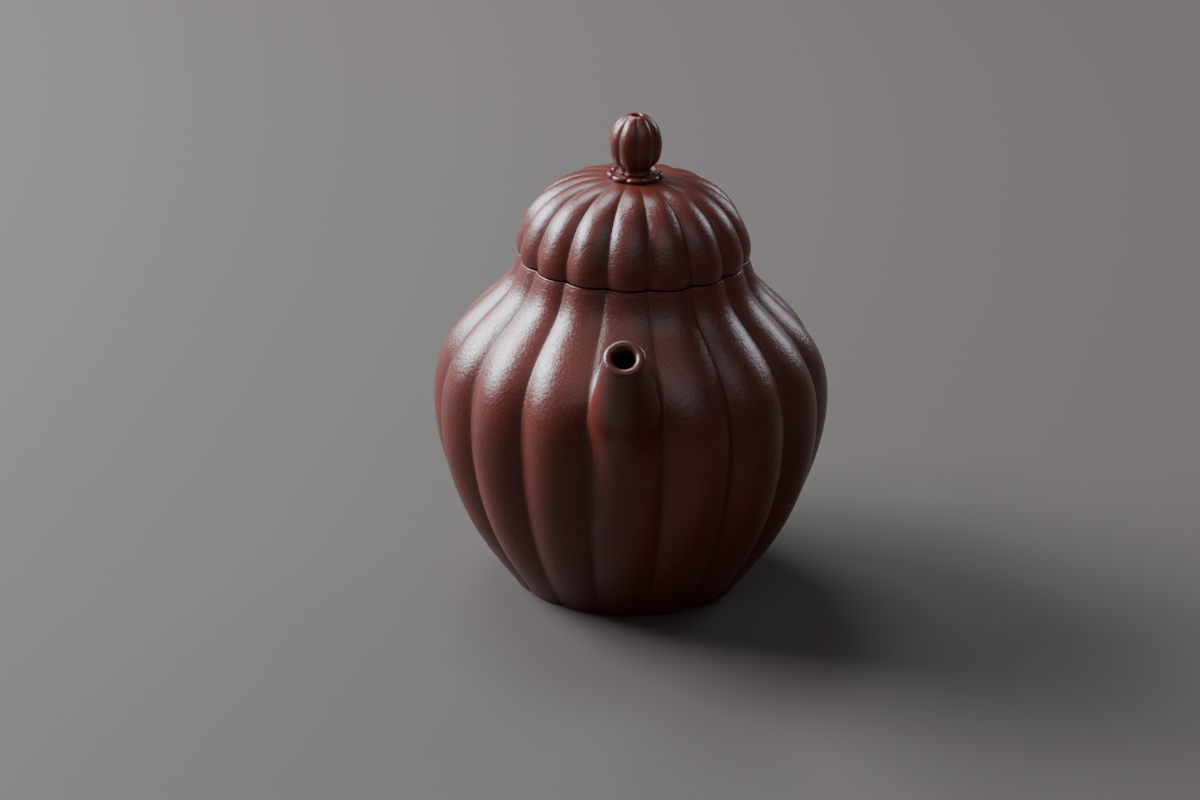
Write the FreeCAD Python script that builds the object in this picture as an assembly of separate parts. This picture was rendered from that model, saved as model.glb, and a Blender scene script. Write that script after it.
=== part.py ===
import FreeCAD, Part
import math
import os

os.makedirs("parts", exist_ok=True)

# Ribbed stoneware teapot with a lift-off lid. Millimetres, +Z up. The origin is on the pot's
# axis where it stands; the spout points to -Y and the handle to +Y.

# ---------------------------------------------------------------- driving dimensions
RIBS = 16                # ribs round the pot, carried on over the lid
BELLY_R = 40.3           # axis to the crest of a rib at the belly
BELLY_Z = 38.5           # height of the widest point
JOIN_Z = 36.0            # the wall is pressed in two halves, luted here
SEAM_Z = 69.2            # rim of the pot, where the lid sits
FOOT_R = 23.4            # crest radius where the ribs reach the table
NECK_R = 23.4            # crest radius at the rim
WALL = 2.6               # clay left behind the deepest groove
FOOT_GROOVE = 0.55       # depth of the grooves at the foot
RIM_GROOVE = 0.8         # and at the rim
BELLY_GROOVE = 1.95      # what the belly adds to them

BASE_R = 19.4            # base disc, let into the open bottom of the wall
BASE_RECESS = 1.0        # the disc's edge above the table
BASE_TOP = 4.0           # inside floor
CORNER_R = 24.6          # inside of the wall where it turns in to the floor
CORNER_Z = 7.0
BASE_DISH = 0.9          # how far the underside is pressed in at its middle

SEAT_R = 20.2            # inside of the neck, which the mouth ring lines
MOUTH_R = 17.5           # opening of the mouth
MOUTH_RING_H = 5.0

LID_GAP = 0.2            # open line between the rim and the lid
FLANGE_R = 17.1          # ring under the lid that drops into the mouth
FLANGE_WALL = 2.2
FLANGE_DEPTH = 7.0
FLANGE_GAP = 0.1         # between the flange and the lid above it, which may turn on it
LID_R = 23.6             # widest crest radius of the lid
DOME_TOP_Z = 85.5        # flat middle of the dome, under the collar
DOME_CAP_R = 3.6         # the ribs of the lid die out at this radius
DOME_GROOVE = 1.15       # depth of the lid's grooves near its rim
HOLLOW_TOP_Z = 82.1      # underside of the dome at its middle

COLLAR_R = 5.45          # petal collar under the knob
COLLAR_TOP_Z = 86.6
COLLAR_NOTCH = 0.5       # depth of the notches between its petals
KNOB_RIBS = 8
KNOB_R = 5.15
KNOB_MID_Z = 92.6
KNOB_GROOVE_DEPTH = 0.42
KNOB_TOP_Z = 98.4
VENT_R = 1.0             # air hole down through knob, collar and lid

MOUTH_Y = -58.4          # middle of the spout's mouth
MOUTH_Z = 69.3
SPOUT_R = 3.95           # outside radius at the mouth
SPOUT_BORE_R = 2.15
SPOUT_ROOT_BORE_R = 4.3

STRAINER_R = 8.0         # pierced dome inside, over the spout's hole
STRAINER_WALL = 1.6
STRAINER_HOLE_R = 0.75
STRAINER_Y = -32.6       # middle of the dome's sphere
STRAINER_Z = 46.2

HANDLE_REACH = 61.2      # axis to the back of the handle
HANDLE_THICK = 5.8       # across the bend, at the widest part of the loop
HANDLE_WIDTH = 8.4       # side to side at the top

UP = FreeCAD.Vector(0, 0, 1)
ORIGIN = FreeCAD.Vector(0, 0, 0)
FRONT = -90.0            # degrees about Z of the direction the spout points in


# ---------------------------------------------------------------- shared shapes
def outline(points):
    """A smooth curve in the XZ plane through (radius, height) points."""
    curve = Part.BSplineCurve()
    curve.interpolate([FreeCAD.Vector(r, 0, z) for r, z in points])
    return curve


def along(curve, count):
    """Points evenly spaced by parameter from end to end of a curve."""
    first = curve.FirstParameter
    step = (curve.LastParameter - first) / count
    return [curve.value(first + i * step) for i in range(count + 1)]


def revolve(edges):
    """A solid turned about Z from edges that close in the XZ plane."""
    face = Part.Face(Part.Wire(edges))
    return face.revolve(ORIGIN, UP, 360)


def turned_ring(points):
    """A solid turned about Z from a closed polygon of (radius, height) points."""
    corners = [FreeCAD.Vector(r, 0, z) for r, z in points]
    return revolve(Part.makePolygon(corners + corners[:1]).Edges)


def ribbed_solid(points, depth_at, ribs, middle, rows=14):
    """A closed solid whose outside is ribs: each is one smooth patch from groove to groove.

    points is the outline of the crests, depth_at(radius, height) the depth of the groove there,
    and middle the direction in degrees of the middle of one rib.
    """
    across = [-1, -0.5, 0, 0.5, 1]
    half = math.pi / ribs
    grid = []
    for t in across:
        line = []
        for p in along(outline(points), rows):
            radius = p.x - depth_at(p.x, p.z) * t * t
            angle = math.radians(middle) + t * half
            line.append(FreeCAD.Vector(radius * math.cos(angle), radius * math.sin(angle), p.z))
        grid.append(line)
    surface = Part.BSplineSurface()
    surface.interpolate(grid)
    patch = surface.toShape()
    faces = []
    for i in range(ribs):
        turned = patch.copy()
        turned.rotate(ORIGIN, UP, i * 360.0 / ribs)
        faces.append(turned)
    for height in (points[0][1], points[-1][1]):
        rim = [e for f in faces[:ribs] for e in f.Edges if flat_at(e, height)]
        faces.append(Part.Face(Part.Wire(Part.__sortEdges__(rim))))
    shell = Part.makeShell(faces)
    shell.sewShape(0.001)
    solid = Part.makeSolid(Part.Shell(shell.Faces))
    if solid.Volume < 0:
        solid.reverse()
    return solid


def flat_at(edge, height):
    box = edge.BoundBox
    return abs(box.ZMin - height) < 1e-4 and abs(box.ZMax - height) < 1e-4


def ellipse_wire(centre, tangent, half_wide, half_tall):
    """An ellipse square to a tangent in the YZ plane, half_wide along X."""
    tangent = FreeCAD.Vector(tangent).normalize()
    side = FreeCAD.Vector(1, 0, 0)
    rise = tangent.cross(side).normalize()
    points = []
    for i in range(24):
        a = 2 * math.pi * i / 24
        points.append(centre + side * (half_wide * math.cos(a)) + rise * (half_tall * math.sin(a)))
    ring = Part.BSplineCurve()
    ring.interpolate(points, PeriodicFlag=True)
    return Part.Wire(ring.toShape())


def tube(stations, half_sizes):
    """A solid lofted along a spline in the YZ plane through (y, z) stations."""
    path = Part.BSplineCurve()
    path.interpolate([FreeCAD.Vector(0, y, z) for y, z in stations])
    sections = []
    for (y, z), (wide, tall) in zip(stations, half_sizes):
        at = FreeCAD.Vector(0, y, z)
        u = path.parameter(at)
        sections.append(ellipse_wire(at, path.tangent(u)[0], wide, tall))
    return Part.makeLoft(sections, True, False)


# ---------------------------------------------------------------- wall of the pot
def wall_groove(radius, height):
    """Groove depth: deepest round the belly, shallow at the foot and the rim."""
    rise = min(max(height / SEAM_Z, 0.0), 1.0)
    edge = FOOT_GROOVE + (RIM_GROOVE - FOOT_GROOVE) * rise
    return edge + BELLY_GROOVE * math.sin(math.pi * rise) ** 1.6


WALL_OUTLINE = [
    (FOOT_R, 0.0),
    (32.6, 13.0),
    (38.2, 26.0),
    (BELLY_R, BELLY_Z),
    (39.2, 46.5),
    (35.6, 53.3),
    (29.6, 59.5),
    (25.3, 64.4),
    (NECK_R, SEAM_Z),
]


def inner_radius(radius, height):
    return radius - wall_groove(radius, height) - WALL


def cavity_solid():
    """The hollow of the wall: the base disc's place, the belly and the neck."""
    belly = [(BASE_R, BASE_TOP), (CORNER_R, CORNER_Z)]
    for radius, height in WALL_OUTLINE[1:-2]:
        belly.append((inner_radius(radius, height), height))
    belly.append((SEAT_R, SEAM_Z - MOUTH_RING_H))
    curve = outline(belly)
    top = SEAM_Z + 1.0
    corners = [
        FreeCAD.Vector(SEAT_R, 0, SEAM_Z - MOUTH_RING_H),
        FreeCAD.Vector(SEAT_R, 0, top),
        FreeCAD.Vector(0, 0, top),
        FreeCAD.Vector(0, 0, -1.0),
        FreeCAD.Vector(BASE_R, 0, -1.0),
        FreeCAD.Vector(BASE_R, 0, BASE_TOP),
    ]
    return revolve([curve.toShape()] + Part.makePolygon(corners).Edges)


# ---------------------------------------------------------------- spout
SPOUT_LINE = [
    (-27.0, 45.5),
    (-36.0, 49.3),
    (-42.0, 53.2),
    (-47.5, 57.8),
    (-53.0, 63.2),
    (MOUTH_Y, MOUTH_Z),
]
SPOUT_HALF = [(7.1, 8.4), (7.0, 7.8), (6.7, 6.9), (5.9, 6.0), (4.9, 4.9), (SPOUT_R, SPOUT_R)]
BORE_HALF = [SPOUT_ROOT_BORE_R, SPOUT_ROOT_BORE_R, 3.9, 3.3, 2.6, SPOUT_BORE_R]


def spout_bore():
    """The channel, run on past the mouth and through the wall of the pot."""
    (y0, z0), (y1, z1) = SPOUT_LINE[-2:]
    past = (y1 + (y1 - y0) * 0.4, z1 + (z1 - z0) * 0.4)
    return tube(SPOUT_LINE + [past], [(r, r) for r in BORE_HALF + BORE_HALF[-1:]])


def spout_solid(bore, pot_outside):
    body = tube(SPOUT_LINE, SPOUT_HALF)
    lip = [e for e in body.Edges if e.BoundBox.YMax < MOUTH_Y + SPOUT_R]
    body = body.makeFillet(1.1, lip)
    return body.cut(bore).cut(pot_outside)


# ---------------------------------------------------------------- handle
HANDLE_LINE = [
    (26.0, 56.0),
    (34.0, 60.6),
    (43.0, 63.6),
    (51.5, 62.0),
    (57.0, 55.5),
    (HANDLE_REACH - HANDLE_THICK / 2, 46.5),
    (56.2, 37.5),
    (50.4, 30.2),
    (42.0, 25.6),
    (32.5, 22.5),
]


def handle_solid(pot_outside):
    """An ear-shaped loop, broad where it leaves the shoulder and slimmer at its lower end."""
    half_sizes = []
    for i in range(len(HANDLE_LINE)):
        share = i / (len(HANDLE_LINE) - 1)
        wide = HANDLE_WIDTH / 2 - 1.1 * share
        thick = HANDLE_THICK / 2 + 0.5 * math.cos(2 * math.pi * share)
        half_sizes.append((wide, thick))
    return tube(HANDLE_LINE, half_sizes).cut(pot_outside)


# ---------------------------------------------------------------- strainer
def strainer_solid(cavity):
    """A pierced dome luted over the spout's hole, bulging into the pot."""
    centre = FreeCAD.Vector(0, STRAINER_Y, STRAINER_Z)
    inward = FreeCAD.Vector(0, 9.0, -4.3).normalize()
    dome = Part.makeSphere(STRAINER_R, centre)
    dome = dome.cut(Part.makeSphere(STRAINER_R - STRAINER_WALL, centre)).common(cavity)
    side = FreeCAD.Vector(1, 0, 0)
    rise = inward.cross(side)
    for tilt, count in ((0, 1), (24, 6), (47, 11)):
        for i in range(count):
            turn = 2 * math.pi * i / count
            lean = math.radians(tilt)
            off = side * math.cos(turn) + rise * math.sin(turn)
            way = inward * math.cos(lean) + off * math.sin(lean)
            dome = dome.cut(Part.makeCylinder(STRAINER_HOLE_R, STRAINER_R + 3, centre, way))
    return dome


# ---------------------------------------------------------------- lid
def lid_groove(radius, height):
    """Groove depth on the lid, dying out towards the knob."""
    return DOME_GROOVE * min(1.0, max(radius - DOME_CAP_R, 0.0) / 12.0) ** 0.75


LID_BOTTOM = SEAM_Z + LID_GAP
LID_OUTLINE = [
    (LID_R - 0.25, LID_BOTTOM),
    (LID_R, LID_BOTTOM + 1.5),
    (22.7, 75.0),
    (20.85, 78.6),
    (17.8, 81.8),
    (13.4, 84.35),
    (9.0, 85.4),
    (6.0, DOME_TOP_Z + 0.05),
    (DOME_CAP_R, DOME_TOP_Z),
]


def lid_hollow():
    """The hollow under the dome, as wide as the inside of the flange at its mouth."""
    mouth = FLANGE_R - FLANGE_WALL
    curve = outline([(mouth, LID_BOTTOM), (13.9, 76.0), (9.5, 80.3), (0.0, HOLLOW_TOP_Z)])
    down = LID_BOTTOM - 1.0
    corners = [
        FreeCAD.Vector(0, 0, HOLLOW_TOP_Z),
        FreeCAD.Vector(0, 0, down),
        FreeCAD.Vector(mouth, 0, down),
        FreeCAD.Vector(mouth, 0, LID_BOTTOM),
    ]
    return revolve([curve.toShape()] + Part.makePolygon(corners).Edges)


def collar_solid(dome):
    """A disc of eight petals between the dome and the knob, their rims turned up a little."""
    petals = ribbed_solid(
        [(COLLAR_R - 0.5, DOME_TOP_Z - 0.6), (COLLAR_R, 86.0), (COLLAR_R - 0.35, COLLAR_TOP_Z)],
        lambda radius, height: COLLAR_NOTCH,
        KNOB_RIBS,
        KNOB_GROOVE,
        rows=6,
    )
    return petals.cut(dome)


def knob_groove(radius, height):
    return KNOB_GROOVE_DEPTH * min(1.0, (radius - 1.4) / 2.6)


KNOB_OUTLINE = [
    (3.5, COLLAR_TOP_Z),
    (3.15, 87.25),
    (4.2, 88.9),
    (5.0, 91.0),
    (KNOB_R, KNOB_MID_Z),
    (4.72, 95.0),
    (3.3, 97.4),
    (1.7, KNOB_TOP_Z),
]
KNOB_GROOVE = FRONT + 4.0      # one groove of the knob nearly faces the spout


# ---------------------------------------------------------------- the pieces
cavity = cavity_solid()
pot_outside = ribbed_solid(WALL_OUTLINE, wall_groove, RIBS, FRONT)
lower_half = Part.makeCylinder(BELLY_R + 5.0, JOIN_Z + 5.0, FreeCAD.Vector(0, 0, -5.0))
bore = spout_bore()
vent = Part.makeCylinder(VENT_R, 30.0, FreeCAD.Vector(0, 0, 75.0))

half_turn = 180.0 / KNOB_RIBS
dome = ribbed_solid(LID_OUTLINE, lid_groove, RIBS, FRONT)
knob = ribbed_solid(KNOB_OUTLINE, knob_groove, KNOB_RIBS, KNOB_GROOVE + half_turn)

base_under = outline([(0.0, BASE_RECESS + BASE_DISH), (11.0, 1.6), (BASE_R, BASE_RECESS)])
base_corners = [
    FreeCAD.Vector(BASE_R, 0, BASE_RECESS),
    FreeCAD.Vector(BASE_R, 0, BASE_TOP),
    FreeCAD.Vector(0, 0, BASE_TOP),
    FreeCAD.Vector(0, 0, BASE_RECESS + BASE_DISH),
]

wall = pot_outside.cut(cavity).cut(bore)

pieces = {
    "lower_wall": wall.common(lower_half),
    "upper_wall": wall.cut(lower_half),
    "base_disc": revolve([base_under.toShape()] + Part.makePolygon(base_corners).Edges),
    "mouth_ring": turned_ring([
        (MOUTH_R, SEAM_Z),
        (SEAT_R, SEAM_Z),
        (SEAT_R, SEAM_Z - MOUTH_RING_H),
        (MOUTH_R + 1.2, SEAM_Z - MOUTH_RING_H),
        (MOUTH_R, SEAM_Z - MOUTH_RING_H + 1.6),
    ]),
    "spout": spout_solid(bore, pot_outside),
    "strainer": strainer_solid(cavity),
    "handle": handle_solid(pot_outside),
    "lid_flange": turned_ring([
        (FLANGE_R - FLANGE_WALL, LID_BOTTOM - FLANGE_GAP),
        (FLANGE_R, LID_BOTTOM - FLANGE_GAP),
        (FLANGE_R, LID_BOTTOM - FLANGE_DEPTH + 1.0),
        (FLANGE_R - 0.5, LID_BOTTOM - FLANGE_DEPTH),
        (FLANGE_R - FLANGE_WALL + 0.4, LID_BOTTOM - FLANGE_DEPTH),
    ]),
    "lid_dome": dome.cut(lid_hollow()).cut(vent),
    "lid_collar": collar_solid(dome).cut(vent),
    "knob": knob.cut(vent),
}

for name, shape in pieces.items():
    if not shape.isValid():
        print("not valid:", name)
    print(name, "solids", len(shape.Solids), "volume", round(shape.Volume, 1))
    shape.exportStep(f"parts/{name}.step")
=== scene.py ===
import bmesh
import bpy
import math
import numpy as np
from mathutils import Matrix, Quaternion, Vector


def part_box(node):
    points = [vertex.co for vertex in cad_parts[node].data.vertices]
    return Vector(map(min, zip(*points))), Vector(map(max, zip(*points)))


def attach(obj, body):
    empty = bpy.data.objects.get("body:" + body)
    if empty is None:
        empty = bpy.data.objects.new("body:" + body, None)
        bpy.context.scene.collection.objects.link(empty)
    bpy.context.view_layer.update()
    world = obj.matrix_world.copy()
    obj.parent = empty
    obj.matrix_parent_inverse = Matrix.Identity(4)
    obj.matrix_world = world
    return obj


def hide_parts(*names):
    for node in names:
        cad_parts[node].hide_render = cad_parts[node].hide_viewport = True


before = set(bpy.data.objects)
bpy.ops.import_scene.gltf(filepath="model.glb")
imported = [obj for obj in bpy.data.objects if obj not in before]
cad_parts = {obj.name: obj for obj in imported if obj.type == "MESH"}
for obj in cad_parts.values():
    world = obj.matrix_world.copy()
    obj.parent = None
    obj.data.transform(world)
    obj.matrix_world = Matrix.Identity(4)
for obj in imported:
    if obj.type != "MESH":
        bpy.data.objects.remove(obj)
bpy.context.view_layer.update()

# ---------------------------------------------------------------- the wall of the pot
# The wall is unglazed clay pressed in two ribbed halves, which are luted together just below
# the widest line. The join is scraped away and the outside burnished, so that sixteen ribs run
# unbroken from the ring that the pot stands on up to the rim under the lid.
MM = 0.001
RIBS = 16
FRONT = math.radians(-90)
STEPS_PER_RIB = 16
rim_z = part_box("upper_wall")[1].z / MM
seat_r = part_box("mouth_ring")[1].x / MM
base_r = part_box("base_disc")[1].x / MM
base_low, base_top = (corner.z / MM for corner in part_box("base_disc"))
mouth_ring_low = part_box("mouth_ring")[0].z / MM
WALL = 2.6
INNER_CORNER = (24.6, 7.0)
# Radius and height along the crest of a rib.
WALL_CRESTS = [
    (23.4, 0.0),
    (32.6, 13.0),
    (38.2, 26.0),
    (40.2, 38.5),
    (39.2, 46.5),
    (35.6, 53.3),
    (29.6, 59.5),
    (25.3, 64.4),
    (23.4, rim_z),
]


def smooth_line(points, count):
    """count + 1 points evenly along a natural cubic spline through the given ones."""
    points = np.array(points, float)
    knots = np.concatenate([[0], np.cumsum(np.linalg.norm(np.diff(points, axis=0), axis=1))])
    gaps = np.diff(knots)
    n = len(points)
    matrix, right = np.eye(n), np.zeros_like(points)
    for i in range(1, n - 1):
        matrix[i, i - 1:i + 2] = gaps[i - 1], 2 * (gaps[i - 1] + gaps[i]), gaps[i]
        slopes = (points[i + 1] - points[i]) / gaps[i] - (points[i] - points[i - 1]) / gaps[i - 1]
        right[i] = 6 * slopes
    bend = np.linalg.solve(matrix, right)
    line = []
    for s in np.linspace(0, knots[-1], count + 1):
        i = min(int(np.searchsorted(knots, s, side="right")) - 1, n - 2)
        a, b, h = knots[i + 1] - s, s - knots[i], gaps[i]
        line.append(
            (bend[i] * a**3 + bend[i + 1] * b**3) / (6 * h)
            + (points[i] / h - bend[i] * h / 6) * a
            + (points[i + 1] / h - bend[i + 1] * h / 6) * b
        )
    return np.array(line)


def arc(centre, radius, start, end, count=5):
    """Points of an arc in the (radius, height) plane, angles in degrees."""
    angles = np.radians(np.linspace(start, end, count + 1))
    return [(centre[0] + radius * math.cos(a), centre[1] + radius * math.sin(a)) for a in angles]


def spun(loop, steps, weights=None, closed=True):
    """A bmesh turned about Z from a loop of (radius, height) points, with a rib weight on each."""
    bm = bmesh.new()
    layer = bm.verts.layers.float.new("rib")
    verts = []
    for i, (radius, height) in enumerate(loop):
        vert = bm.verts.new((0, -radius * MM, height * MM))
        vert[layer] = weights[i] if weights else 0.0
        verts.append(vert)
    pairs = list(zip(verts, verts[1:]))
    if closed:
        pairs.append((verts[-1], verts[0]))
    edges = [bm.edges.new(pair) for pair in pairs]
    bmesh.ops.spin(
        bm, geom=verts + edges, cent=(0, 0, 0), axis=(0, 0, 1),
        angle=2 * math.pi, steps=steps, use_merge=True, use_duplicate=False,
    )
    bmesh.ops.remove_doubles(bm, verts=bm.verts, dist=0.000001)
    return bm


def groove(share):
    """0 on the crest of a rib and nearly 1 in the groove at share 1, with a round bottom."""
    soft = 0.05
    share = np.abs(share)
    bottom = (1 - soft) * (1 - (1 - share) ** 2 / soft)
    return np.where(share < 1 - soft, share * share, bottom)


def rib_share(angle, ribs, middle):
    """Where an angle falls across its rib: -1 and 1 in the grooves, 0 on the crest."""
    turn = (angle - middle) * ribs / (2 * math.pi)
    return 2 * (turn - np.floor(turn + 0.5))


def unevenness(angle, height, most):
    """How far a hand-pressed surface falls short of its outline, in millimetres."""
    slow = np.sin(3 * angle + height / 11) + np.sin(5 * angle - height / 17 + 1.3)
    return most * (0.5 + 0.25 * slow)


def press_ribs(bm, ribs, middle_at, depth_at, wander=0.0):
    """Presses ribs into a turned bmesh, and draws its columns together towards the grooves."""
    layer = bm.verts.layers.float["rib"]
    half = math.pi / ribs
    for vert in bm.verts:
        radius = math.hypot(vert.co.x, vert.co.y) / MM
        if radius < 0.01:
            continue
        height = vert.co.z / MM
        angle = math.atan2(vert.co.y, vert.co.x)
        share = rib_share(angle, ribs, middle_at(height))
        gathered = math.sin(share * math.pi / 2)
        angle += (gathered - share) * half
        weight = vert[layer]
        radius -= weight * depth_at(radius, height, angle) * groove(gathered)
        if wander:
            radius -= weight * unevenness(angle, height, wander)
        vert.co = (radius * MM * math.cos(angle), radius * MM * math.sin(angle), vert.co.z)
        # The groove weight kept here is the mask for the painted shade in the grooves.
        vert[layer] = weight * float(groove(gathered))


def finished(bm, name, material, body, nodes):
    """Turns a bmesh into a smooth-shaded piece that rides on a body and replaces CAD nodes."""
    bmesh.ops.recalc_face_normals(bm, faces=bm.faces)
    mesh = bpy.data.meshes.new(name)
    bm.to_mesh(mesh)
    bm.free()
    mesh.shade_smooth()
    piece = bpy.data.objects.new(name, mesh)
    bpy.context.scene.collection.objects.link(piece)
    mesh.materials.append(material)
    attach(piece, body)
    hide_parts(*nodes)
    return piece


def linear(code):
    """A hex sRGB colour as the linear RGBA that the shader takes."""
    channels = [int(code[i:i + 2], 16) / 255 for i in (1, 3, 5)]
    return [c / 12.92 if c < 0.04045 else ((c + 0.055) / 1.055) ** 2.4 for c in channels] + [1]


def add_node(material, kind, settings=None, inputs=None):
    """Adds a node, sets its properties, and sets or links its inputs."""
    tree = material.node_tree
    node = tree.nodes.new(kind)
    for key, value in (settings or {}).items():
        setattr(node, key, value)
    for key, value in (inputs or {}).items():
        if isinstance(value, bpy.types.NodeSocket):
            tree.links.new(value, node.inputs[key])
        else:
            node.inputs[key].default_value = value
    return node


def zisha(name, body, dark, light, rough, grain):
    """Purple-sand stoneware: fine grit in a dense body, fired without glaze.

    It gives a deep brown-red with paler sand grains and a satin sheen where it was burnished.
    """
    material = bpy.data.materials.new(name)
    material.use_nodes = True
    material.node_tree.nodes.clear()
    place = add_node(material, "ShaderNodeTexCoord").outputs["Object"]
    # The firing leaves broad, soft changes of tone, some 30 mm across.
    clouds = add_node(material, "ShaderNodeTexNoise", None, {
        "Vector": place, "Scale": 1 / (30 * MM), "Detail": 3.0, "Roughness": 0.55,
    })
    tone = add_node(material, "ShaderNodeMapRange", None, {
        "Value": clouds.outputs["Fac"], "From Min": 0.3, "From Max": 0.7,
    })
    ground = add_node(material, "ShaderNodeMix", {"data_type": "RGBA"}, {
        "Factor": tone.outputs["Result"], "A": linear(dark), "B": linear(body),
    })
    # Sand grains are 0.2 to 0.4 mm across, drawn at 0.5 mm so that they show.
    sand = add_node(material, "ShaderNodeTexVoronoi", None, {
        "Vector": place, "Scale": 1 / (0.5 * MM),
    })
    chosen = add_node(material, "ShaderNodeSeparateColor", None, {"Color": sand.outputs["Color"]})
    pale = add_node(material, "ShaderNodeMath", {"operation": "GREATER_THAN"}, {
        0: chosen.outputs["Red"], 1: 0.86,
    })
    near = add_node(material, "ShaderNodeMapRange", None, {
        "Value": sand.outputs["Distance"], "From Max": 0.42,
        "To Min": 0.45, "To Max": 0.0,
    })
    speck = add_node(material, "ShaderNodeMath", {"operation": "MULTIPLY"}, {
        0: pale.outputs[0], 1: near.outputs["Result"],
    })
    sandy = add_node(material, "ShaderNodeMix", {"data_type": "RGBA"}, {
        "Factor": speck.outputs[0], "A": ground.outputs["Result"], "B": linear(light),
    })
    # Painted shade darkens the grooves towards the dark clay; they are also left rougher, where no
    # tool or hand polishes.
    rib = add_node(material, "ShaderNodeAttribute", {"attribute_name": "rib"})
    settled = add_node(material, "ShaderNodeMapRange", {"interpolation_type": "SMOOTHSTEP"}, {
        "Value": rib.outputs["Fac"], "From Min": 0.6, "To Max": 0.5,
    })
    # The colour is mixed towards the dark clay in the grooves: painted shade in the creases.
    colour = add_node(material, "ShaderNodeMix", {"data_type": "RGBA"}, {
        "Factor": settled.outputs["Result"], "A": sandy.outputs["Result"], "B": linear(dark),
    })
    # The burnished skin is pitted between the grains; pits are about 0.6 mm apart.
    pits = add_node(material, "ShaderNodeTexNoise", None, {
        "Vector": place, "Scale": 1 / (0.6 * MM), "Detail": 4.0, "Roughness": 0.6,
    })
    # Under them the scraping and pressing leave low ripples, some 4 mm apart.
    ripples = add_node(material, "ShaderNodeTexNoise", None, {
        "Vector": place, "Scale": 1 / (4.0 * MM), "Detail": 2.0, "Roughness": 0.5,
    })
    broad = add_node(material, "ShaderNodeBump", None, {
        "Height": ripples.outputs["Fac"], "Strength": 0.6, "Distance": 0.15 * MM,
    })
    fine = add_node(material, "ShaderNodeBump", None, {
        "Height": pits.outputs["Fac"], "Strength": grain, "Distance": 0.11 * MM,
        "Normal": broad.outputs["Normal"],
    })
    polish = add_node(material, "ShaderNodeMapRange", None, {
        "Value": pits.outputs["Fac"], "From Min": 0.3, "From Max": 0.7,
        "To Min": rough - 0.04, "To Max": rough + 0.08,
    })
    duller = add_node(material, "ShaderNodeMath", {"operation": "MULTIPLY_ADD"}, {
        0: settled.outputs["Result"], 1: 0.3, 2: polish.outputs["Result"],
    })
    shader = add_node(material, "ShaderNodeBsdfPrincipled", None, {
        "Base Color": colour.outputs["Result"],
        "Roughness": duller.outputs[0],
        "IOR": 1.6,
        "Normal": fine.outputs["Normal"],
    })
    add_node(material, "ShaderNodeOutputMaterial", None, {"Surface": shader.outputs["BSDF"]})
    return material


burnished = zisha("burnished_zisha", "#6c2c20", "#541f16", "#a0624c", 0.31, 0.8)
scraped = zisha("scraped_zisha", "#713427", "#5c281e", "#995a45", 0.62, 1.0)

crests = smooth_line(WALL_CRESTS, 130)
WANDER = 0.25
EDGE = 0.22
FOOT_EDGE = 0.8
FOOT_SPREAD = 0.55
FOOT_FLAT = 2.2 * FOOT_EDGE
FOOT_CHAMFER = 0.6
INNER_ROWS = 40
CLEAR_OF_SKIN = 1.2


def wall_groove(radius, height, angle):
    """Groove depth: greatest at mid height, and worked shallow beside the root of the spout."""
    rise = np.clip(height / rim_z, 0.0, 1.0)
    above = np.sin(math.pi * np.clip((height - 44.0) / (rim_z - 44.0), 0.0, 1.0))
    ahead = np.exp(-((angle - FRONT) / 0.34) ** 2)
    return (0.6 + 0.4 * rise + 2.0 * np.sin(math.pi * rise) ** 1.15) * (1 - 0.85 * above * ahead)


def rib_middle(height):
    """The direction of the front rib. The halves are luted a little out of line, by eye."""
    rise = np.clip((height - 38) / (rim_z - 38), 0.0, 1.0)
    return FRONT + np.radians(0.5 - 1.7 * rise * rise * (3 - 2 * rise))


def wall_skin(angle, height):
    """The radius of the outside of the wall, in millimetres."""
    crest = np.interp(height, crests[:, 1], crests[:, 0])
    share = rib_share(angle, RIBS, rib_middle(height))
    depth = wall_groove(crest, height, angle) * groove(share)
    return crest - depth - unevenness(angle, height, WANDER)


inside = [(seat_r, mouth_ring_low)]
for crest, height in WALL_CRESTS[-3:0:-1]:
    inside.append((crest - wall_groove(crest, height, -FRONT) - WALL, height))
inside += [INNER_CORNER, (base_r, base_top)]
inner = smooth_line(inside, INNER_ROWS)
# The loop goes up the outside, in over the rim, down the inside and out under the foot.
wall_loop, wall_weights = [], []
for radius, height in crests[2:-1]:
    wall_loop.append((radius, height))
    wall_weights.append(1.0)
for point in arc((WALL_CRESTS[-1][0] - EDGE, rim_z - EDGE), EDGE, 0, 90):
    wall_loop.append(point)
    wall_weights.append(1.0)
for share in (0.75, 0.5, 0.25, 0.0):
    outer_r = WALL_CRESTS[-1][0] - EDGE
    wall_loop.append((seat_r + (outer_r - seat_r) * share, rim_z))
    wall_weights.append(share)
for i, (radius, height) in enumerate(inner):
    wall_loop.append((radius, height))
    wall_weights.append(0.4 * math.sin(math.pi * i / INNER_ROWS))
wall_loop += [(base_r, FOOT_CHAMFER), (base_r + FOOT_CHAMFER, 0.0)]
wall_weights += [0.0, 0.0]
for share in (0.4, 0.8):
    wall_loop.append((base_r + FOOT_CHAMFER + FOOT_FLAT * share, 0.0))
    wall_weights.append(share)
foot_centre = (WALL_CRESTS[0][0] - FOOT_EDGE + FOOT_SPREAD, FOOT_EDGE)
for point in arc(foot_centre, FOOT_EDGE, -90, -30):
    wall_loop.append(point)
    wall_weights.append(1.0)
wall = spun(wall_loop, RIBS * STEPS_PER_RIB, wall_weights)
press_ribs(wall, RIBS, rib_middle, wall_groove, WANDER)
for face in wall.faces:
    centre = face.calc_center_median() / MM
    bearing = math.atan2(centre.y, centre.x)
    within = math.hypot(centre.x, centre.y) < wall_skin(bearing, centre.z) - CLEAR_OF_SKIN
    face.material_index = 1 if within and 0.1 < centre.z < rim_z - 0.1 else 0
wall_piece = finished(
    wall, "ribbed_wall", burnished, "pot", ["lower_wall", "upper_wall"]
)
wall_piece.data.materials.append(scraped)

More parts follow.
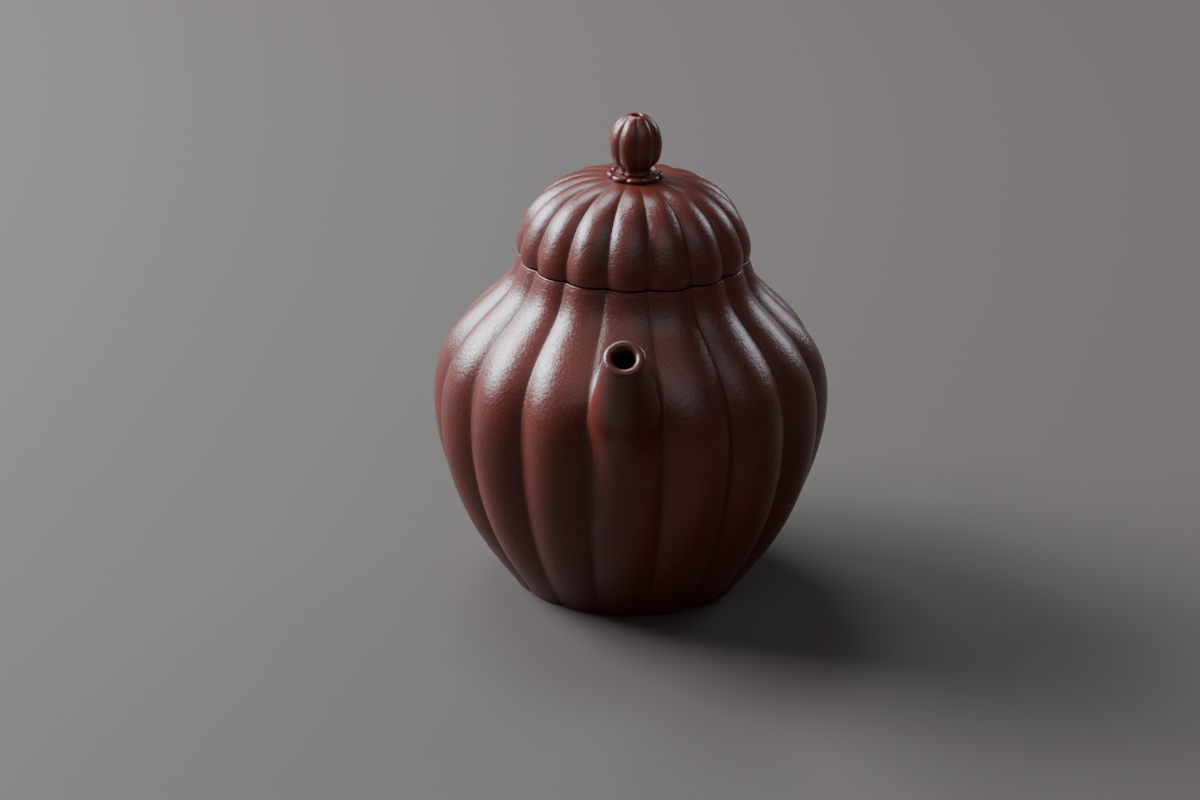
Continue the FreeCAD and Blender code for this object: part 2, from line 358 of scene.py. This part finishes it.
# ---------------------------------------------------------------- the base disc
# A flat disc of the same clay, let into the open bottom of the wall and luted there. Its
# underside is pressed in a little in the middle, and is only scraped.
DISC_EDGE = 0.25
under = smooth_line([(0.0, base_low + 0.9), (11.0, base_low + 0.6), (base_r, base_low)], 24)
disc_loop = [(0.0, base_top), (base_r * 0.5, base_top), (base_r - DISC_EDGE, base_top)]
disc_loop += arc((base_r - DISC_EDGE, base_top - DISC_EDGE), DISC_EDGE, 90, 0, 3)[1:]
disc_loop += [tuple(point) for point in under[::-1]]
disc = spun(disc_loop, 128, closed=False)
finished(disc, "scraped_base_disc", scraped, "pot", ["base_disc"])

# ---------------------------------------------------------------- the mouth ring
# A turned ring of clay luted inside the neck, level with the rim. It narrows the mouth to fit
# the lid's flange and gives the lid its flat seat.
FLANGE_PLAY = 0.4
RING_EDGE = 0.4
CLAY_GAP = 0.02
mouth_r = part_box("lid_flange")[1].x / MM + FLANGE_PLAY
ring_loop = arc((mouth_r + RING_EDGE, rim_z - RING_EDGE), RING_EDGE, 180, 90, 4)
ring_loop += [(seat_r - CLAY_GAP, rim_z), (seat_r - CLAY_GAP, mouth_ring_low)]
ring_loop += arc((mouth_r + 1.6, mouth_ring_low + RING_EDGE), RING_EDGE, -90, -180, 4)
ring_loop += [(mouth_r, mouth_ring_low + 1.9)]
ring = spun(ring_loop, 160)
finished(ring, "turned_mouth_ring", scraped, "pot", ["mouth_ring"])

# ---------------------------------------------------------------- the spout
# A short tapering spout rolled round a cone and luted over the front rib. Wet clay is smoothed
# down from it onto the wall, so that it grows out of the rib, with no join to be seen. Its
# lip is rounded with a wet leather round a small hole.
mouth_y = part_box("spout")[0].y / MM + 2.7
# Place along Y and height of the middle of the spout, from inside the wall to the mouth.
SPOUT_LINE = [
    (-27.0, 45.5),
    (-36.0, 49.3),
    (-42.0, 53.2),
    (-47.5, 57.8),
    (-53.0, 63.2),
    (mouth_y, 69.3),
]
# Half width and half height at each of those points, and the radius of the channel.
SPOUT_HALF = [(7.0, 7.6), (6.9, 7.1), (6.5, 6.6), (5.9, 5.9), (5.0, 4.95), (3.95, 3.95)]
SPOUT_BORE = [4.3, 4.3, 3.8, 3.1, 2.35, 1.95]
# The channel starts at the wall's outside face: this wall has no hole behind it.
BORE_ROOT_Y = -37.5
AROUND = 72
LIP = 1.0


class Tube:
    """A tube of elliptical section along a spline in the YZ plane, in millimetres."""

    def __init__(self, line, halves):
        """Takes the line's points and the half width and half height at each."""
        self.axis = smooth_line(line, 400)
        steps = np.linalg.norm(np.diff(self.axis, axis=0), axis=1)
        self.length = np.concatenate([[0], np.cumsum(steps)])
        self.slope = np.gradient(self.axis, axis=0)
        apart = np.linalg.norm(self.axis[:, None] - np.array(line)[None], axis=2)
        self.stations = self.length[np.argmin(apart, axis=0)]
        self.wide = self.carried([wide for wide, tall in halves])
        self.tall = self.carried([tall for wide, tall in halves])

    def carried(self, sizes):
        """Sizes given at the line's points, carried smoothly along the whole axis."""
        curve = smooth_line(list(zip(self.stations, sizes)), 200)
        return np.interp(self.length, curve[:, 0], curve[:, 1])

    def section(self, s):
        """Centres, tangents, normals, half widths and half heights at distances along the tube."""
        zero = np.zeros_like(s)
        y, z = (np.interp(s, self.length, self.axis[:, k]) for k in (0, 1))
        run, rise = (np.interp(s, self.length, self.slope[:, k]) for k in (0, 1))
        tangent = np.stack([zero, run, rise], -1)
        tangent /= np.linalg.norm(tangent, axis=-1, keepdims=True)
        normal = np.stack([zero, -tangent[..., 2], tangent[..., 1]], -1)
        wide = np.interp(s, self.length, self.wide)
        tall = np.interp(s, self.length, self.tall)
        return np.stack([zero, y, z], -1), tangent, normal, wide, tall

    def skin(self, s, turns, inset=0.0):
        """Points on the tube, or inset from it, at turns round it from its side."""
        s = np.broadcast_to(s, np.shape(turns)).astype(float)
        centre, _, normal, wide, tall = self.section(s)
        across = ((wide - inset) * np.cos(turns))[..., None] * np.array([1.0, 0.0, 0.0])
        return centre + across + ((tall - inset) * np.sin(turns))[..., None] * normal

    def outside(self, points):
        """About how far points are outside the tube, and the sines of their turns round it."""
        apart = np.sum((points[:, None, 1:] - self.axis[None]) ** 2, axis=2)
        s = self.length[np.argmin(apart, axis=1)]
        centre, tangent, normal = self.section(s)[:3]
        s = s + np.sum((points - centre) * tangent, axis=1)
        wide = np.interp(s, self.length, self.wide)
        tall = np.interp(s, self.length, self.tall)
        up = np.sum((points - centre) * normal, axis=1)
        far = np.hypot(points[:, 0], up) + 1e-6
        return far - far / np.hypot(points[:, 0] / wide, up / tall), up / far


def outside_wall(points):
    """About how far points are outside the wall, in millimetres."""
    height = np.clip(points[:, 2], 1.0, rim_z - 1.0)
    low = np.interp(height - 0.5, crests[:, 1], crests[:, 0])
    high = np.interp(height + 0.5, crests[:, 1], crests[:, 0])
    skin = wall_skin(np.arctan2(points[:, 1], points[:, 0]), height)
    return (np.hypot(points[:, 0], points[:, 1]) - skin) / np.hypot(1.0, high - low)


def melted(points, tube, reach_at):
    """The outside of the wall and a tube with wet clay smoothed over the corner between them."""
    off_tube, sine = tube.outside(points)
    off_wall = outside_wall(points)
    reach = reach_at(sine)
    near = np.maximum(reach - np.abs(off_tube - off_wall), 0.0) / reach
    return np.minimum(off_tube, off_wall) - near * near * reach / 4


def uphill(points, field, step=0.02):
    """The values of a field at points, and its slopes there."""
    here = field(points)
    return here, np.stack([(field(points + step * axis) - here) / step for axis in np.eye(3)], -1)


def settled(points, field, level=0.0):
    """The points moved to where the field has that level."""
    for _ in range(7):
        here, slope = uphill(points, field)
        move = (here - level) / np.maximum(np.sum(slope * slope, axis=1), 0.05)
        points = points - slope * move[:, None]
    return points


def unit(vectors):
    """Vectors of length 1 in the same directions."""
    return vectors / np.linalg.norm(vectors, axis=-1, keepdims=True)


def onto_wall(tube, turns, start, stop, reach_at, rows, skirt_rows):
    """Rings down a tube from start and out over the wall, the last two under the wall's skin."""
    stations = np.linspace(start, stop, 160)
    gaps = np.array([outside_wall(tube.skin(s, turns)) for s in stations])
    after = np.argmax(gaps < 0, axis=0)
    pick = np.arange(len(turns))
    share = gaps[after - 1, pick] / (gaps[after - 1, pick] - gaps[after, pick])
    end = stations[after - 1] + (stations[after] - stations[after - 1]) * share

    def field(points):
        return melted(points, tube, reach_at)

    rings = []
    for share in np.linspace(0, 1, rows):
        rings.append(settled(tube.skin(start + (end - start) * share, turns), field))
    foot = tube.skin(end, turns)
    normal, wide, tall = tube.section(end)[2:]
    away = normal * (np.sin(turns) / tall)[:, None]
    away[:, 0] = np.cos(turns) / wide
    outward = unit(uphill(foot, outside_wall)[1])
    away = unit(away - np.sum(away * outward, axis=1)[:, None] * outward)
    spread = (reach_at(np.sin(turns)) * 1.1 + 0.25)[:, None]
    for share in np.linspace(0, 1, skirt_rows + 1)[1:-1]:
        rings.append(settled(foot + away * spread * share, field))
    last = settled(foot + away * spread, outside_wall, -0.03)
    return rings + [last, last - outward * 0.9]


def rolled(rings, sharp_rows):
    """A bmesh made from a grid with a ring of points on each row, its sides welded together."""
    around, rows = len(rings[0]), len(rings)
    bm = bmesh.new()
    bm.verts.layers.float.new("rib")
    bmesh.ops.create_grid(bm, x_segments=around, y_segments=rows - 1, size=1.0)
    bm.verts.index_update()
    row_of = [round((vert.co.y + 1) / 2 * (rows - 1)) for vert in bm.verts]
    for vert in bm.verts:
        i = round((vert.co.x + 1) / 2 * around) % around
        vert.co = Vector(rings[row_of[vert.index]][i]) * MM
    for edge in bm.edges:
        first, second = (row_of[vert.index] for vert in edge.verts)
        edge.smooth = first != second or first not in sharp_rows
    bmesh.ops.remove_doubles(bm, verts=bm.verts, dist=0.000002)
    return bm


def take_rib_shade(bm, fade):
    """Carries the shading of the wall's grooves out onto a piece, fading over a few millimetres."""
    layer = bm.verts.layers.float["rib"]
    points = np.array([vert.co[:] for vert in bm.verts]) / MM
    bearing = np.arctan2(points[:, 1], points[:, 0])
    share = rib_share(bearing, RIBS, rib_middle(points[:, 2]))
    close = np.clip(1 - outside_wall(points) / fade, 0.0, 1.0)
    for vert, shade in zip(bm.verts, groove(share) * close):
        vert[layer] = shade


def spout_reach(sine):
    """Clay is smoothed well up and down the rib, and hardly at all into the grooves beside it."""
    return 0.9 + np.where(sine > 0, 6.5 * np.abs(sine) ** 1.3, 4.0 * sine * sine)


spout_tube = Tube(SPOUT_LINE, SPOUT_HALF)
bore_radius = spout_tube.carried(SPOUT_BORE)
lip_start = spout_tube.length[-1] - LIP
bore_root = spout_tube.length[np.argmin(np.abs(spout_tube.axis[:, 0] - BORE_ROOT_Y))]
turns = np.arange(AROUND) * 2 * math.pi / AROUND
spout_rings = []
for s in np.linspace(bore_root, lip_start, 16):
    centre, tangent, normal = spout_tube.section(np.full(AROUND, s))[:3]
    radius = np.interp(s, spout_tube.length, bore_radius)
    ring = centre + radius * np.sin(turns)[:, None] * normal
    ring[:, 0] += radius * np.cos(turns)
    spout_rings.append(ring)
for bend in np.radians(np.linspace(165, 15, 9)):
    ring = spout_tube.skin(lip_start, turns, LIP * (1 - math.cos(bend)))
    spout_rings.append(ring + tangent * LIP * math.sin(bend))
spout_rings += onto_wall(spout_tube, turns, lip_start, 0, spout_reach, 34, 12)
spout = rolled(spout_rings + spout_rings[:1], [len(spout_rings) - 2])
take_rib_shade(spout, 6.0)
finished(spout, "smoothed_spout", burnished, "pot", ["spout"])

# ---------------------------------------------------------------- the handle
# A rolled and bent bar of clay in the shape of an ear, wider at its upper end than its lower.
# Both ends are luted to the wall and smoothed in all round.
HANDLE_LINE = [
    (26.0, 56.0),
    (34.0, 60.6),
    (43.0, 63.6),
    (51.5, 62.0),
    (57.0, 55.5),
    (58.3, 46.5),
    (56.2, 37.5),
    (50.4, 30.2),
    (42.0, 25.6),
    (32.5, 22.5),
]
handle_halves = []
for i in range(len(HANDLE_LINE)):
    share = i / (len(HANDLE_LINE) - 1)
    handle_halves.append((4.2 - 1.1 * share, 2.85 + 0.5 * math.cos(2 * math.pi * share)))
handle_tube = Tube(HANDLE_LINE, handle_halves)


def handle_reach(sine):
    """The handle's ends are smoothed in evenly, a little further above and below."""
    return 2.2 + 1.3 * sine * sine


bend_s = handle_tube.length[-1] / 2
upper = onto_wall(handle_tube, turns, bend_s, 0, handle_reach, 44, 8)
lower = onto_wall(handle_tube, turns, bend_s, handle_tube.length[-1], handle_reach, 44, 8)
handle_rings = upper[::-1] + lower[1:]
ends = [np.tile(ring.mean(axis=0), (AROUND, 1)) for ring in (handle_rings[0], handle_rings[-1])]
handle = rolled(ends[:1] + handle_rings + ends[1:], [2, len(handle_rings) - 1])
take_rib_shade(handle, 4.0)
finished(handle, "ear_handle", burnished, "pot", ["handle"])

# ---------------------------------------------------------------- the strainer
# A small dome of clay pierced with a round punch and luted inside the wall, over the hole
# behind the spout, to hold the leaves back. It is left as it was punched.
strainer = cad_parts["strainer"]
strainer.data.materials.clear()
strainer.data.materials.append(scraped)

# ---------------------------------------------------------------- the lid's flange
# A turned ring under the lid, which drops into the mouth and keeps the lid in place. It is
# trimmed to the mouth ring by hand and left scraped.
flange_low, flange_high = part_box("lid_flange")
flange_r = flange_high.x / MM
flange_top, flange_bottom = flange_high.z / MM, flange_low.z / MM
flange_inner = flange_r - 2.2
flange_loop = [(flange_inner, flange_top), (flange_r, flange_top)]
flange_loop += arc((flange_r - 0.6, flange_bottom + 0.6), 0.6, 0, -90, 5)
flange_loop += arc((flange_inner + 0.9, flange_bottom + 0.5), 0.5, -90, -180, 4)
flange = spun(flange_loop, 160)
finished(flange, "turned_lid_flange", scraped, "flange", ["lid_flange"])

# ---------------------------------------------------------------- the lid
# The lid is pressed like the wall, with the same sixteen ribs, so that they run on over it
# from the rim of the pot. They die out under the knob, where an air hole goes through.
lid_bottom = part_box("lid_dome")[0].z / MM
LID_TOP = 85.5
LID_EDGE = 0.45
LID_CRESTS = [
    (23.45, lid_bottom + LID_EDGE),
    (23.6, lid_bottom + 1.5),
    (22.7, 75.0),
    (20.85, 78.6),
    (17.8, 81.8),
    (13.4, 84.35),
    (9.0, 85.4),
    (6.0, 85.55),
    (3.6, LID_TOP),
]
VENT_R = 1.0
HOLLOW_TOP = 82.1


def lid_groove(radius, height, angle):
    """Groove depth on the lid, dying out towards the knob."""
    return 1.5 * min(1.0, max(radius - 3.6, 0.0) / 10.0) ** 0.6


def lid_middle(height):
    """The direction of the lid's front rib, which meets the wall's at the rim."""
    return rib_middle(rim_z)


lid_loop, lid_weights = [], []
for point in arc((LID_CRESTS[0][0] - LID_EDGE, lid_bottom + LID_EDGE), LID_EDGE, -90, 0, 5)[:-1]:
    lid_loop.append(point)
    lid_weights.append(1.0)
for point in smooth_line(LID_CRESTS, 84):
    lid_loop.append(tuple(point))
    lid_weights.append(1.0)
vent = [(2.3, LID_TOP), (VENT_R, LID_TOP), (VENT_R, HOLLOW_TOP + 0.4)]
HOLLOW_LINE = [
    (VENT_R + 0.4, HOLLOW_TOP),
    (9.5, 80.3),
    (13.9, 76.0),
    (flange_inner, lid_bottom),
]
for point in vent + [tuple(point) for point in smooth_line(HOLLOW_LINE, 26)]:
    lid_loop.append(point)
    lid_weights.append(0.0)
for radius, weight in ((17.1, 0.1), (19.5, 0.4), (21.5, 0.8)):
    lid_loop.append((radius, lid_bottom))
    lid_weights.append(weight)
lid = spun(lid_loop, RIBS * STEPS_PER_RIB, lid_weights)
press_ribs(lid, RIBS, lid_middle, lid_groove, 0.12)
for face in lid.faces:
    centre = face.calc_center_median() / MM
    within = math.hypot(centre.x, centre.y) < flange_inner + 0.1
    face.material_index = 1 if within and centre.z < HOLLOW_TOP + 0.3 else 0
dome = finished(lid, "ribbed_lid", burnished, "lid", ["lid_dome"])
dome.data.materials.append(scraped)

# ---------------------------------------------------------------- the collar
# A small pressed flower of eight petals, luted on the lid under the knob, with the rims of
# its petals turned up.
KNOB_RIBS = 8
KNOB_GROOVE = FRONT + math.radians(4)
collar_base = LID_TOP - 0.05
collar_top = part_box("lid_collar")[1].z / MM
COLLAR_LOOP = [
    (VENT_R, collar_base),
    (VENT_R, collar_top - 0.1),
    (3.0, collar_top - 0.1),
    (3.7, collar_top - 0.3),
    (4.2, collar_top - 0.42),
    (4.6, collar_top - 0.3),
    (4.95, collar_top - 0.06),
    (5.25, collar_top),
    (5.5, collar_top - 0.1),
    (5.65, collar_top - 0.4),
    (5.55, collar_top - 0.8),
    (5.3, collar_base),
]
collar = spun(COLLAR_LOOP, KNOB_RIBS * 18, [0, 0, 0.6, 1, 1, 1, 1, 1, 1, 1, 1, 1])
press_ribs(
    collar, KNOB_RIBS, lambda height: KNOB_GROOVE,
    lambda radius, height, angle: 0.65 * max(radius - 2.6, 0.0) / 2.8,
)
dip = collar.verts.layers.float["rib"]
for vert in collar.verts:
    radius = math.hypot(vert.co.x, vert.co.y) / MM
    if vert.co.z > (collar_base + 0.3) * MM:
        vert.co.z -= 0.45 * MM * vert[dip] ** 3 * min(max(radius - 3.2, 0.0), 1.0)
bmesh.ops.smooth_vert(
    collar, verts=collar.verts, factor=0.2, use_axis_x=True, use_axis_y=True, use_axis_z=True,
)
finished(collar, "petal_collar", burnished, "lid", ["lid_collar"])

# ---------------------------------------------------------------- the knob
# An egg-shaped knob with eight shallow flutes, pressed to match the ribs, with an air hole
# down its middle. It is luted on the collar and burnished with the lid.
KNOB_LINE = [
    (3.5, collar_top),
    (3.2, 87.3),
    (4.45, 88.9),
    (5.25, 91.0),
    (5.4, 92.6),
    (4.92, 95.0),
    (3.4, 97.3),
    (2.0, 98.25),
]
knob_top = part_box("knob")[1].z / MM
knob_loop = [(VENT_R, collar_top - 0.15), (3.4, collar_top - 0.15)]
knob_weights = [0.0, 1.0]
for point in smooth_line(KNOB_LINE, 48):
    knob_loop.append(tuple(point))
    knob_weights.append(1.0)
for point in arc((VENT_R + 0.4, knob_top - 0.4), 0.4, 75, 180, 5):
    knob_loop.append(point)
    knob_weights.append(0.0)
knob = spun(knob_loop, KNOB_RIBS * 20, knob_weights)
press_ribs(
    knob, KNOB_RIBS, lambda height: KNOB_GROOVE + math.pi / KNOB_RIBS,
    lambda radius, height, angle: 0.5 * min(1.0, max(radius - 1.6, 0.0) / 2.6),
)
finished(knob, "fluted_knob", burnished, "lid", ["knob"])

# ---------------------------------------------------------------- the studio
# A plain floor, a large soft window to the left and a little behind the pot, weaker lights
# behind it on both sides and over it, and a weak fill in front.
target = Vector((0, 0, 37.1 * MM))
AZIMUTH, ELEVATION = math.radians(1.2), math.radians(21.7)
DISTANCE = 720 * MM
LENS, SENSOR = 105.9, 36.0
back = Vector((
    math.sin(AZIMUTH) * math.cos(ELEVATION),
    -math.cos(AZIMUTH) * math.cos(ELEVATION),
    math.sin(ELEVATION),
))
camera_data = bpy.data.cameras.new("camera")
camera_data.lens = LENS
camera_data.sensor_width = SENSOR
camera = bpy.data.objects.new("camera", camera_data)
bpy.context.scene.collection.objects.link(camera)
camera.location = target + back * DISTANCE
right = Vector((0, 0, 1)).cross(back).normalized()
above = back.cross(right)
ASIDE, UPWARDS = 6.12 * MM, 0.45 * MM
aim = target - right * ASIDE + above * UPWARDS
ROLL = math.radians(1.1)
look = (aim - camera.location).to_track_quat("-Z", "Y")
camera.rotation_mode = "QUATERNION"
camera.rotation_quaternion = look @ Quaternion((0, 0, 1), ROLL)
bpy.context.scene.camera = camera

bm = bmesh.new()
bmesh.ops.create_grid(bm, x_segments=1, y_segments=1, size=12.0)
floor_mesh = bpy.data.meshes.new("floor")
bm.to_mesh(floor_mesh)
bm.free()
floor = bpy.data.objects.new("floor", floor_mesh)
bpy.context.scene.collection.objects.link(floor)
plaster = bpy.data.materials.new("plain_plaster_floor")
plaster.use_nodes = True
plaster.node_tree.nodes["Principled BSDF"].inputs["Base Color"].default_value = linear("#4e4841")
plaster.node_tree.nodes["Principled BSDF"].inputs["Roughness"].default_value = 0.8
floor_mesh.materials.append(plaster)

COOL = (0.83, 0.89, 1.0)
POT_MIDDLE = Vector((0, 0, 0.05))


def soft_light(name, place, size, watts):
    """Adds a cool rectangular light, its sizes in metres, aimed at the middle of the pot."""
    data = bpy.data.lights.new(name, "AREA")
    data.shape = "RECTANGLE"
    data.size, data.size_y = size
    data.energy = watts
    data.color = COOL
    lamp = bpy.data.objects.new(name, data)
    bpy.context.scene.collection.objects.link(lamp)
    lamp.location = place
    lamp.rotation_mode = "QUATERNION"
    lamp.rotation_quaternion = (POT_MIDDLE - Vector(place)).to_track_quat("-Z", "Y")


soft_light("window", (-0.95, 0.3, 0.68), (0.7, 0.45), 42)
soft_light("back_window", (-0.8, 0.8, 0.4), (0.35, 0.35), 6)
soft_light("overhead", (-0.35, 0.75, 1.2), (0.6, 0.4), 11)
soft_light("right_back", (0.8, 0.9, 0.5), (0.4, 0.4), 3.5)
soft_light("front_fill", (0.2, -0.9, 1.25), (1.6, 1.0), 4.0)
world = bpy.data.worlds.new("studio")
world.use_nodes = True
world.node_tree.nodes["Background"].inputs["Color"].default_value = (1.0, 0.9, 0.82, 1)
world.node_tree.nodes["Background"].inputs["Strength"].default_value = 0.09
bpy.context.scene.world = world
